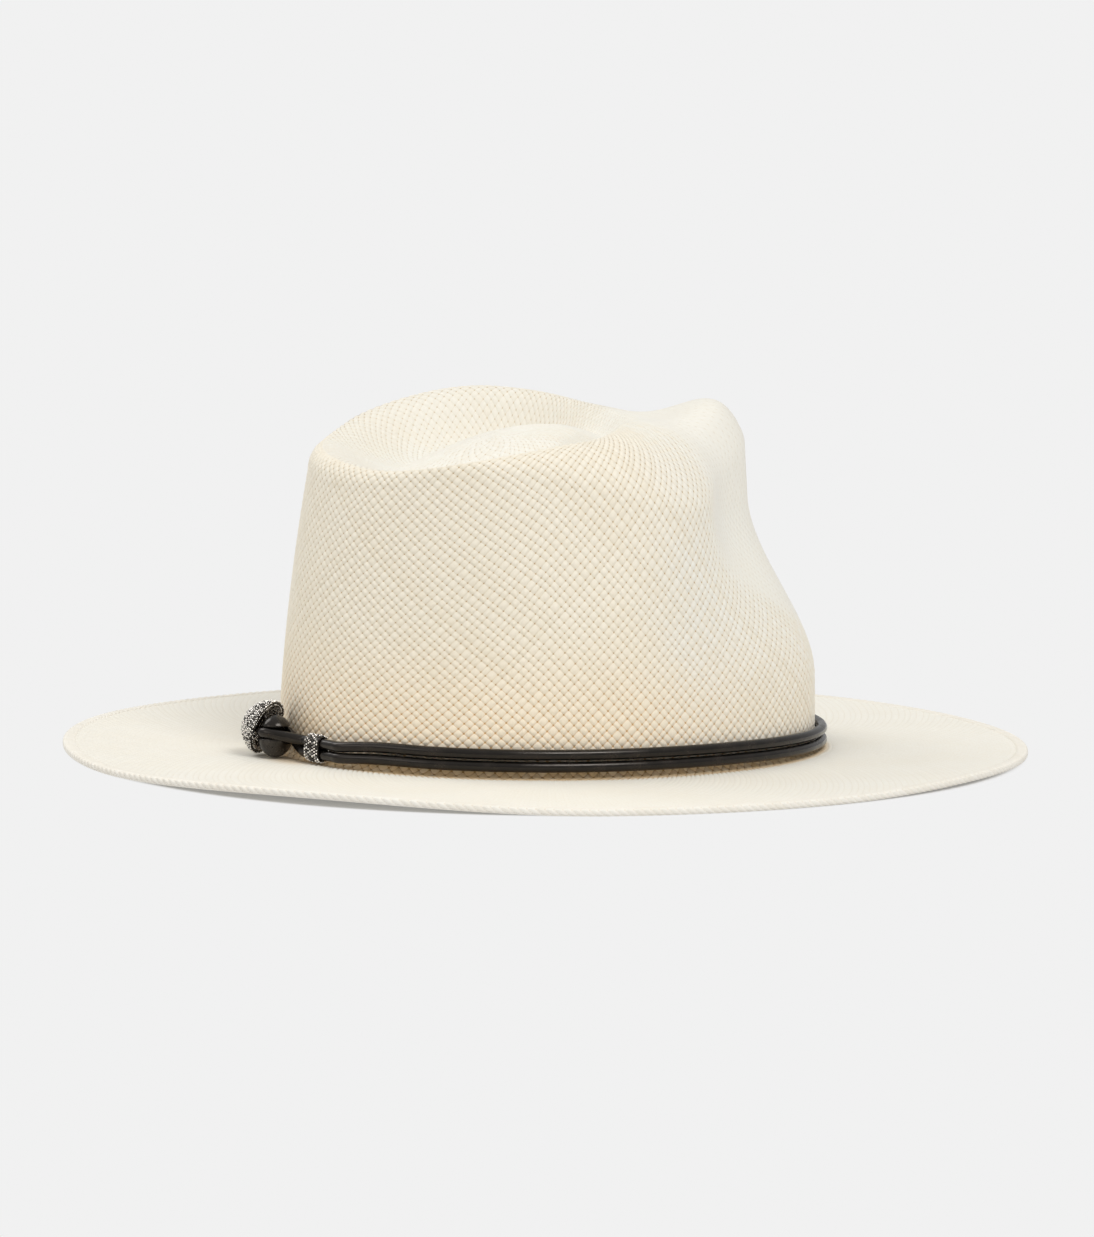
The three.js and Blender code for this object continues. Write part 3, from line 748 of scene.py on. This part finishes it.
def make_cup_beads():
    """Rows of small beads over the cup's outside, and inside its rim where ball and loop leave room."""
    middle = CUP_OUTER + BEAD_RADIUS * 0.8
    centres, radii = [], []
    row_step = math.degrees(BEAD_PITCH * 0.93 / middle)
    for row, tilt in enumerate(np.arange(row_step / 2, CUP_HALF_ANGLE, row_step)):
        turn = bead_turns(middle, tilt, row)
        turns, tilts, away = [value + random.normal(0, uneven, len(turn))
                              for value, uneven in ((turn, 0.6), (tilt, 0.35), (middle, 0.07))]
        centres.append(on_cup(turns, tilts, away))
        radii.append(BEAD_RADIUS * random.uniform(*BEAD_SPREAD, len(turn)))
    inside = CUP_OUTER - CUP_SHELL - BEAD_RADIUS * 0.9
    for row, tilt in enumerate(np.arange(CUP_HALF_ANGLE - 2, 36, -row_step)):
        turn = bead_turns(inside, tilt, row)
        points = on_cup(turn, np.full_like(turn, tilt), np.full_like(turn, inside))
        off_ball = (points - BALL_CENTRE) / BALL_SIZE
        from_loop = points - LOOP_CENTRE
        off_loop = np.hypot(np.hypot(*from_loop[:, :2].T) - LOOP_RADIUS, from_loop[:, 2])
        free = (np.linalg.norm(off_ball, axis=1) > 1.12) & (off_loop > CORD_DIAMETER / 2 + 0.7)
        centres.append(points[free])
        radii.append(BEAD_RADIUS * random.uniform(*BEAD_SPREAD, free.sum()))
    return make_beads("cup", np.concatenate(centres), np.concatenate(radii))


SLEEVE_INNER, SLEEVE_OUTER = CORD_DIAMETER / 2 + 0.28, CORD_DIAMETER / 2 + 0.53


def keeper_ring(radius, along, count, shift=0.0):
    """Points spread evenly along a ring round both strands, with straight sides between them."""
    arc = math.pi * radius
    run = arc + STRAND_SPACING
    points = []
    for k in range(count):
        s = (k + shift) / count * 2 * run % (2 * run)
        side = 1 if s < run else -1
        s %= run
        turn = min(s / radius, math.pi)
        middle = side * (STRAND_SPACING / 2 - max(s - arc, 0))
        sideways = side * radius * math.cos(turn)
        points.append(to_keeper(along, middle + side * radius * math.sin(turn)) + KEEPER_OUT * sideways)
    return np.array(points)


def make_sleeve():
    """The keeper's leather sleeve, with rounded ends."""
    half, sides = KEEPER_LENGTH / 2, 96
    wall = (SLEEVE_OUTER - SLEEVE_INNER) / 2
    middle = (SLEEVE_OUTER + SLEEVE_INNER) / 2
    outer = [(middle + wall, along) for along in np.linspace(-half + wall, half - wall, 8)]
    outer += [(middle + wall * math.cos(t), half - wall + wall * math.sin(t)) for t in (0.5, 1.57, 2.6)]
    section = outer + [(2 * middle - radius, -along) for radius, along in outer]
    vertices = np.concatenate([keeper_ring(radius, along, sides) for radius, along in section])
    faces = [grid_faces(len(section), sides, True)]
    return make_mesh("keeper_leather", vertices, faces, ["keeper_sleeve"], "keeper")


def make_keeper_beads():
    """Rings of beads round the keeper, a little fuller in the middle."""
    radius = SLEEVE_OUTER + KEEPER_BEAD * 0.75
    reach = KEEPER_LENGTH / 2 - KEEPER_BEAD
    count = int((2 * math.pi * radius + 2 * STRAND_SPACING) / (KEEPER_BEAD * 2.3))
    centres = []
    for row in range(CAD_BEAD_ROWS):
        share = row / (CAD_BEAD_ROWS - 1)
        full = 0.1 * math.sin(math.pi * share)
        ring = keeper_ring(radius + full, lerp(-reach, reach, share), count, 0.5 * (row % 2))
        centres.append(ring + random.normal(0, 0.05, ring.shape))
    centres = np.concatenate(centres)
    radii = KEEPER_BEAD * random.uniform(*KEEPER_SPREAD, len(centres))
    return make_beads("keeper", centres, radii, "keeper")


# ---- the sweatband

BAND_BACK = STRAW + GAP + 0.3  # how far inside the crown's outer face the tape's back is
RIBS = 460  # fine ribs round the sweatband's tape
STITCHES, STITCH_SHARE, STITCH_BOW, THREAD_RADIUS = 150, 0.72, 0.32, 0.22


def band_radius(angle, up, depth):
    return wall_radius(angle, np.maximum(up, 0)) - BAND_BACK - depth


def make_sweatband():
    """A ribbed tape with rounded edges, standing inside the crown's foot."""
    columns = RIBS * 3
    angle = around(columns)
    half = BAND_THICK / 2
    heights = np.concatenate([[0, 0.35, 1.0], np.linspace(2.5, BAND_HEIGHT - 2.5, 14),
                              [BAND_HEIGHT - 1.0, BAND_HEIGHT - 0.35, BAND_HEIGHT]])
    to_edge = np.minimum(np.minimum(heights, BAND_HEIGHT - heights) / BAND_THICK, 1)
    thick = half * np.maximum(np.sqrt(1 - (1 - to_edge) ** 2), 0.25)
    outer = [(half - t, h) for t, h in zip(thick, heights)]
    section = outer + [(BAND_THICK - depth, h) for depth, h in reversed(outer)]
    rib = 0.07 * np.cos(2 * np.pi * np.arange(columns) / 3)
    rows = []
    for depth, height in section:
        up = BAND_BOTTOM + height
        rows.append(polar(angle, band_radius(angle, up, depth + rib * (depth > half)), up))
    faces = grid_faces(len(section), columns, True)[:, ::-1]
    return make_mesh("ribbed_sweatband", np.concatenate(rows), [faces], ["sweatband"])


def make_stitches():
    """Separate lock stitches that sew the sweatband in, each a short bowed thread."""
    stitches = []
    up = BAND_BOTTOM + 2.5
    shares = np.linspace(-0.5, 0.5, 9)
    bow = STITCH_BOW * np.cos(np.pi * shares)
    for k in range(STITCHES):
        angle = (k + shares * STITCH_SHARE) * 360 / STITCHES
        radius = band_radius(angle, up, BAND_THICK + 0.05 + bow)
        stitches.append(tube_mesh(polar(angle, radius, up + 0.25 * shares), THREAD_RADIUS, 8))
    return make_mesh("sweatband_stitches", *joined(stitches), ["sweatband_stitching"])


def make_tape():
    """The short ribbed tape over the sweatband's joint, with its corners rounded off."""
    low, high = [np.array(corner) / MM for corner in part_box("sweatband_joint_tape")]
    middle, size = (low + high) / 2, high - low
    rows, columns = 36, 60
    v, u = np.meshgrid(np.linspace(-1, 1, rows), np.linspace(-1, 1, columns), indexing="ij")
    edge = np.minimum(1 - np.abs(u), (1 - np.abs(v)) * size[2] / size[1]) * size[1] / 2
    thick = size[0] / 2 * np.sqrt(np.clip(1 - (1 - np.minimum(edge / 0.5, 1)) ** 2, 0.04, 1))
    rib = 0.05 * np.cos(np.linspace(0, 2 * np.pi * 26, rows))[:, None] * np.minimum(edge / 0.8, 1)
    corner = 1 - 0.06 * (np.abs(u) ** 6) * (np.abs(v) ** 6)
    y, z = middle[1] + u * size[1] / 2 * corner, middle[2] + v * size[2] / 2 * corner
    front, back = [np.stack([x, y, z], axis=-1).reshape(-1, 3)
                   for x in (middle[0] + thick + rib - 0.05, middle[0] - thick)]
    quads = grid_faces(rows, columns, False, False)
    count = rows * columns
    grid = np.arange(count).reshape(rows, columns)
    border = np.concatenate([grid[0], grid[1:, -1], grid[-1, -2::-1], grid[-2:0:-1, 0]])
    rim = np.stack([np.roll(border, -1), border, border + count, np.roll(border, -1) + count], axis=1)
    faces = [quads[:, ::-1], quads + count, rim]
    return make_mesh("sweatband_tape", np.concatenate([front, back]), faces, ["sweatband_joint_tape"])


# ---- materials

class Nodes:
    """A node tree that is filled by short calls. Plain numbers are set on the sockets."""

    def __init__(self, tree):
        self.tree = tree

    def set(self, node, values):
        for key, value in values.items():
            socket = node.inputs[key]
            if isinstance(value, bpy.types.NodeSocket):
                self.tree.links.new(value, socket)
            else:
                socket.default_value = (*value, 1.0) if socket.type == "RGBA" else value

    def node(self, kind, inputs=None, **settings):
        node = self.tree.nodes.new("ShaderNode" + kind)
        for key, value in settings.items():
            setattr(node, key, value)
        self.set(node, inputs or {})
        return node

    def math(self, operation, *values):
        return self.node("Math", dict(enumerate(values)), operation=operation).outputs[0]

    def times(self, a, b):
        return self.math("MULTIPLY", a, b)

    def vector(self, x, y):
        return self.node("CombineXYZ", {0: x, 1: y}).outputs[0]

    def place(self):
        """A point's place on the piece, in metres."""
        return self.node("TexCoord").outputs["Object"]

    def ramp(self, value, low, high, to_low=0.0, to_high=1.0):
        inputs = {"Value": value, "From Min": low, "From Max": high, "To Min": to_low, "To Max": to_high}
        return self.node("MapRange", inputs, interpolation_type="SMOOTHSTEP").outputs[0]

    def mix(self, factor, a, b):
        node = self.node("Mix", data_type="RGBA")
        self.set(node, {0: factor, 6: a, 7: b})
        return node.outputs[2]

    def coats(self, colour, *coats):
        """A base colour with further colours laid over it, each as strongly as its factor says."""
        for factor, coat in coats:
            colour = self.mix(factor, colour, coat)
        return colour

    def attribute(self, name):
        return self.node("Attribute", attribute_name=name).outputs["Fac"]

    def noise(self, vector, scale, detail=2.0, roughness=0.5):
        inputs = {"Vector": vector, "Scale": scale, "Detail": detail, "Roughness": roughness}
        return self.node("TexNoise", inputs).outputs["Fac"]

    def near_border(self, line):
        """1 on the border between two strands, falling steeply to 0 in the middle of a strand."""
        off = self.math("ABSOLUTE", self.math("SUBTRACT", line, self.math("ROUND", line)))
        return self.math("POWER", self.math("SUBTRACT", 1.0, self.times(off, 2.0)), 4.0)

    def bump(self, height, strength, distance):
        inputs = {"Height": height, "Strength": strength, "Distance": distance}
        return self.node("Bump", inputs).outputs["Normal"]


class Shader(Nodes):
    """A material with one Principled surface."""

    def __init__(self, name):
        self.material = bpy.data.materials.new(name)
        self.material.use_nodes = True
        super().__init__(self.material.node_tree)
        self.surface = self.tree.nodes["Principled BSDF"]

    def finish(self, values):
        self.set(self.surface, values)
        return self.material


def straw_material():
    """Bleached straw with fine fibres; the tan along strand borders and at the tiny gaps is painted shade
    with some dust.
    """
    s = Shader("woven_straw_fibre")
    uv = s.node("UVMap", uv_map="strands").outputs[0]
    p, q = s.node("SeparateXYZ", {0: uv}).outputs[:2]
    rim = s.math("ADD", *(s.near_border(line) for line in (p, q)))
    press, pale_and_lit, warm = s.attribute("press"), s.attribute("pale_and_lit"), s.attribute("warm")
    foot, tone = s.attribute("foot"), s.attribute("tone")
    open_weave = s.ramp(press, 0.0, 1.0, 1.0, 0.22)
    # painted shade with some dust: tan lines along the strand borders and brown in the tiny gaps
    gap = s.times(s.ramp(rim, 1.06, 1.56), open_weave)
    line = s.times(s.times(s.ramp(rim, 0.55, 1.10), open_weave), s.ramp(warm, 0.0, 1.0, 0.36, 0.90))
    over = s.math("MODULO", s.math("ADD", s.math("FLOOR", p), s.math("FLOOR", q)), 2.0)
    along_q, along_p = [s.vector(s.times(a, 9.0), s.times(b, 0.8)) for a, b in ((q, p), (p, q))]
    fibre = s.noise(s.mix(over, along_q, along_p), 1.0, 3.0)
    patch = s.noise(s.place(), 28.0)
    tan = s.mix(warm, (0.70, 0.53, 0.29), (0.78, 0.47, 0.21))
    colour = s.coats(
        (0.885, 0.825, 0.70),
        # painted light, partly paler straw: whiter colours where the straw faces the light
        (s.ramp(pale_and_lit, 0.0, 0.5), (0.83, 0.81, 0.74)),
        (s.ramp(pale_and_lit, 0.5, 1.0), (0.885, 0.86, 0.78)),
        # painted warm bounce light
        (s.times(warm, 0.70), (0.94, 0.80, 0.61)),
        # painted shade with some stain under the cord and by the toggle
        (s.times(foot, 0.9), (0.70, 0.47, 0.22)),
        (s.times(s.ramp(tone, -2.2, 2.2, 0.0, 0.40), open_weave), (0.80, 0.715, 0.56)),
        (s.ramp(patch, 0.35, 0.75, 0.0, 0.10), (0.78, 0.69, 0.52)),
        (s.ramp(fibre, 0.35, 0.8, 0.0, 0.10), (0.74, 0.64, 0.47)),
        # painted shade with some dust along the borders and in the gaps
        (line, s.mix(foot, tan, (0.34, 0.19, 0.07))),
        (s.times(gap, 0.9), (0.43, 0.27, 0.10)))
    sunk = s.times(s.math("MINIMUM", rim, 1.3), open_weave)
    height = s.math("SUBTRACT", s.times(fibre, 0.15), sunk)
    return s.finish({"Base Color": colour, "Normal": s.bump(height, 0.70, 0.0003),
                     "Roughness": s.ramp(fibre, 0.2, 0.8, 0.48, 0.64),
                     "Specular IOR Level": 0.35, "Sheen Weight": 0.08, "Sheen Roughness": 0.5})


def edge_material():
    """The braided edge: the same straw, a touch pinker, with painted shade between the strokes."""
    s = Shader("edge_braid_straw")
    uv = s.node("UVMap", uv_map="strands").outputs[0]
    across, along = s.node("SeparateXYZ", {0: uv}).outputs[:2]
    fibre = s.noise(s.vector(s.times(across, 9.0), along), 1.0, 3.0)
    # painted shade in the grooves between the strokes
    groove = s.ramp(s.attribute("relief"), 0.05, 0.62, 1.0, 0.0)
    colour = s.coats(
        (0.88, 0.845, 0.765),
        (s.ramp(s.attribute("tone"), -2.0, 2.0, 0.0, 0.6), (0.83, 0.78, 0.68)),
        (s.ramp(fibre, 0.35, 0.8, 0.0, 0.12), (0.74, 0.67, 0.54)),
        (s.times(groove, 0.5), (0.66, 0.52, 0.38)))
    return s.finish({"Base Color": colour, "Normal": s.bump(fibre, 0.35, 0.0002),
                     "Specular IOR Level": 0.3, "Roughness": s.ramp(fibre, 0.2, 0.8, 0.52, 0.68)})


def leather_material(name, dark, light, grain):
    """Dark waxed leather: fine pebbled grain, soft creases and a sheen that is worn in places."""
    s = Shader(name)
    place = s.place()
    pebbles = s.node("TexVoronoi", {"Vector": place, "Scale": grain}).outputs["Distance"]
    creases = s.noise(place, grain * 0.28, 4.0, 0.6)
    worn = s.noise(place, grain * 0.12, 3.0)
    colour = s.mix(s.ramp(worn, 0.42, 0.72), dark, light)
    height = s.math("ADD", s.times(pebbles, 0.5), creases)
    return s.finish({"Base Color": colour, "Normal": s.bump(height, 0.22, 0.0001),
                     "Roughness": s.ramp(worn, 0.3, 0.75, 0.15, 0.30),
                     "Specular IOR Level": 0.40, "Specular Tint": (1.0, 0.91, 0.82)})


def bead_material():
    """Small plated beads with fine scratches; each bead's brightness, near black to white, is a painted
    reflection.
    """
    s = Shader("plated_beads")
    scratch = s.noise(s.place(), 2600.0)
    # painted reflection: dark and bright beads stand in for dark and bright surroundings
    colour = s.coats((0.08, 0.075, 0.07), (s.ramp(s.attribute("tone"), 0.1, 0.6), (0.98, 0.95, 0.90)),
                     (s.ramp(scratch, 0.4, 0.8, 0.0, 0.25), (0.16, 0.14, 0.12)))
    return s.finish({"Base Color": colour, "Normal": s.bump(scratch, 0.25, 0.0001),
                     "Roughness": s.ramp(scratch, 0.3, 0.7, 0.04, 0.14), "Metallic": 1.0})


def cotton_material(name, base, shade, scale):
    """Woven cotton: a fine rib and loose fibres over a soft base colour."""
    s = Shader(name)
    place = s.place()
    weft = s.node("TexWave", {"Vector": place, "Scale": scale, "Distortion": 1.5, "Detail": 2.0,
                              "Detail Scale": 3.0}, bands_direction="Z").outputs["Fac"]
    fuzz = s.noise(place, 900.0, 3.0)
    colour = s.coats(base, (s.ramp(weft, 0.2, 0.9, 0.0, 0.5), shade),
                     (s.ramp(fuzz, 0.4, 0.8, 0.0, 0.3), shade))
    height = s.math("ADD", weft, s.times(fuzz, 0.5))
    return s.finish({"Base Color": colour, "Normal": s.bump(height, 0.4, 0.0002),
                     "Roughness": s.ramp(fuzz, 0.3, 0.7, 0.8, 0.95), "Specular IOR Level": 0.2,
                     "Sheen Weight": 0.25, "Sheen Roughness": 0.4})


def paint(material, slot, *pieces):
    for piece in pieces:
        piece.data.materials.append(material)


# ---- the studio

BACKDROP = 0.879  # the pale grey of the floor and the background, as linear light
SKY_LOW, SKY_HIGH = 0.46, 0.72  # strength of the surroundings' light from the horizon and from above
FLOOR_GREY, FLOOR_REACH = 0.80, 40.0
FLOOR_GLOW, FLOOR_BORDER = 0.16, 0.005  # how much of the backdrop shows under the brim too
CAMERA_TURN, CAMERA_TILT, CAMERA_ROLL = 15.0, 7.2, 0.9
CAMERA_DISTANCE = 2.5
CAMERA_LENS = 192.2
CAMERA_AIM = Vector((0.0, 0.0, 0.0497))
CAMERA_SHIFT = 0.0011  # how far to its left the camera aims beside that point
LIGHT_AIM = Vector((0.0, 0.0, 0.05))


def facing(place, back, roll=Matrix()):
    """Where a camera or light stands, turned so that the direction back is behind it."""
    return Matrix.Translation(place) @ (roll @ back.to_track_quat("Z", "Y").to_matrix().to_4x4())


def make_camera():
    turn, tilt = math.radians(CAMERA_TURN), math.radians(CAMERA_TILT)
    back = Vector((-math.sin(turn) * math.cos(tilt), -math.cos(turn) * math.cos(tilt), math.sin(tilt)))
    right = Vector((math.cos(turn), -math.sin(turn), 0.0))
    camera = add_object("camera", bpy.data.cameras.new("camera"))
    camera.data.lens = CAMERA_LENS
    camera.data.sensor_width = 36.0
    camera.data.clip_end = 100.0
    aim = CAMERA_AIM - right * CAMERA_SHIFT
    camera.rotation_mode = "QUATERNION"
    roll = Matrix.Rotation(math.radians(CAMERA_ROLL), 4, back)
    camera.matrix_world = facing(aim + back * CAMERA_DISTANCE, back, roll)
    bpy.context.scene.camera = camera


def make_floor():
    """A pale floor that is lit only under the brim. Beyond the brim it has the backdrop's grey."""
    mesh = bpy.data.meshes.new("floor")
    corners = [(x * FLOOR_REACH, y * FLOOR_REACH, 0) for x, y in ((-1, -1), (1, -1), (1, 1), (-1, 1))]
    mesh.from_pydata(corners, [], [(0, 1, 2, 3)])
    add_object("floor", mesh)
    s = Shader("pale_floor")
    x, y = s.node("SeparateXYZ", {0: s.place()}).outputs[:2]
    half_length, half_width = OVAL_LENGTH / 2 + BRIM_WIDTH, OVAL_WIDTH / 2 + BRIM_WIDTH
    across = s.math("POWER", s.math("DIVIDE", y, half_width / half_length), 2.0)
    away = s.math("SQRT", s.math("ADD", s.math("POWER", x, 2.0), across))
    beyond = s.ramp(away, half_length * MM - FLOOR_BORDER, half_length * MM, FLOOR_GLOW, 1.0)
    s.set(s.surface, {"Base Color": (FLOOR_GREY,) * 3, "Roughness": 1.0, "Specular IOR Level": 0.0})
    glow = s.node("Emission", {"Color": (BACKDROP,) * 3, "Strength": 1.0})
    blend = s.node("MixShader", {0: beyond, 1: s.surface.outputs[0], 2: glow.outputs[0]})
    s.set(s.tree.nodes["Material Output"], {"Surface": blend.outputs[0]})
    mesh.materials.append(s.material)


def make_world():
    """White surroundings, lighter above than at the horizon. The camera sees the backdrop's grey."""
    world = bpy.data.worlds.new("studio")
    bpy.context.scene.world = world
    world.use_nodes = True
    world.node_tree.nodes.clear()
    w = Nodes(world.node_tree)
    climb = w.node("SeparateXYZ", {0: w.node("TexCoord").outputs["Generated"]}).outputs[2]
    strength = w.node("MapRange", {"Value": climb, "To Min": SKY_LOW, "To Max": SKY_HIGH}).outputs[0]
    lit = w.node("Background", {"Color": (1.0, 1.0, 1.0), "Strength": strength})
    seen = w.node("Background", {"Color": (BACKDROP,) * 3})
    to_camera = w.node("LightPath").outputs["Is Camera Ray"]
    mixed = w.node("MixShader", {0: to_camera, 1: lit.outputs[0], 2: seen.outputs[0]})
    w.node("OutputWorld", {"Surface": mixed.outputs[0]})


def add_softbox(name, place, size, power):
    light = bpy.data.lights.new(name, "AREA")
    light.shape = "RECTANGLE"
    light.size, light.size_y = size
    light.energy = power
    add_object(name, light).matrix_world = facing(place, Vector(place) - LIGHT_AIM)


def make_studio():
    make_world()
    make_floor()
    add_softbox("key", (0.42, -1.6, 2.05), (1.2, 0.9), 28)
    add_softbox("fill", (-1.5, 1.2, 2.0), (1.2, 1.2), 15)
    add_softbox("side", (-2.0, -0.7, 1.2), (0.9, 0.9), 3.5)
    bpy.context.scene.view_settings.view_transform = "Standard"
    bpy.context.scene.view_settings.look = "None"


# ---- the hat

make_camera()
make_studio()

paint(straw_material(), "bleached_straw", make_straw())
paint(edge_material(), "straw_edge", make_edge())

cotton = cotton_material("ribbed_cotton", (0.70, 0.63, 0.51), (0.52, 0.45, 0.34), 420.0)
thread = cotton_material("cotton_thread", (0.86, 0.82, 0.73), (0.66, 0.60, 0.49), 1400.0)
paint(cotton, "sweatband_cotton", make_sweatband(), make_tape())
paint(thread, "cotton_thread", make_stitches())

cord_leather = leather_material("cord_leather", (0.003, 0.0025, 0.002), (0.012, 0.009, 0.007), 1300.0)
knot_leather = leather_material("knot_leather", (0.006, 0.005, 0.004), (0.028, 0.025, 0.022), 1700.0)
paint(cord_leather, "dark_leather", make_cord(), make_stem())
paint(knot_leather, "dark_leather", make_ball(), make_cup(), make_sleeve())
paint(bead_material(), "silver_beads", make_cup_beads(), make_keeper_beads())
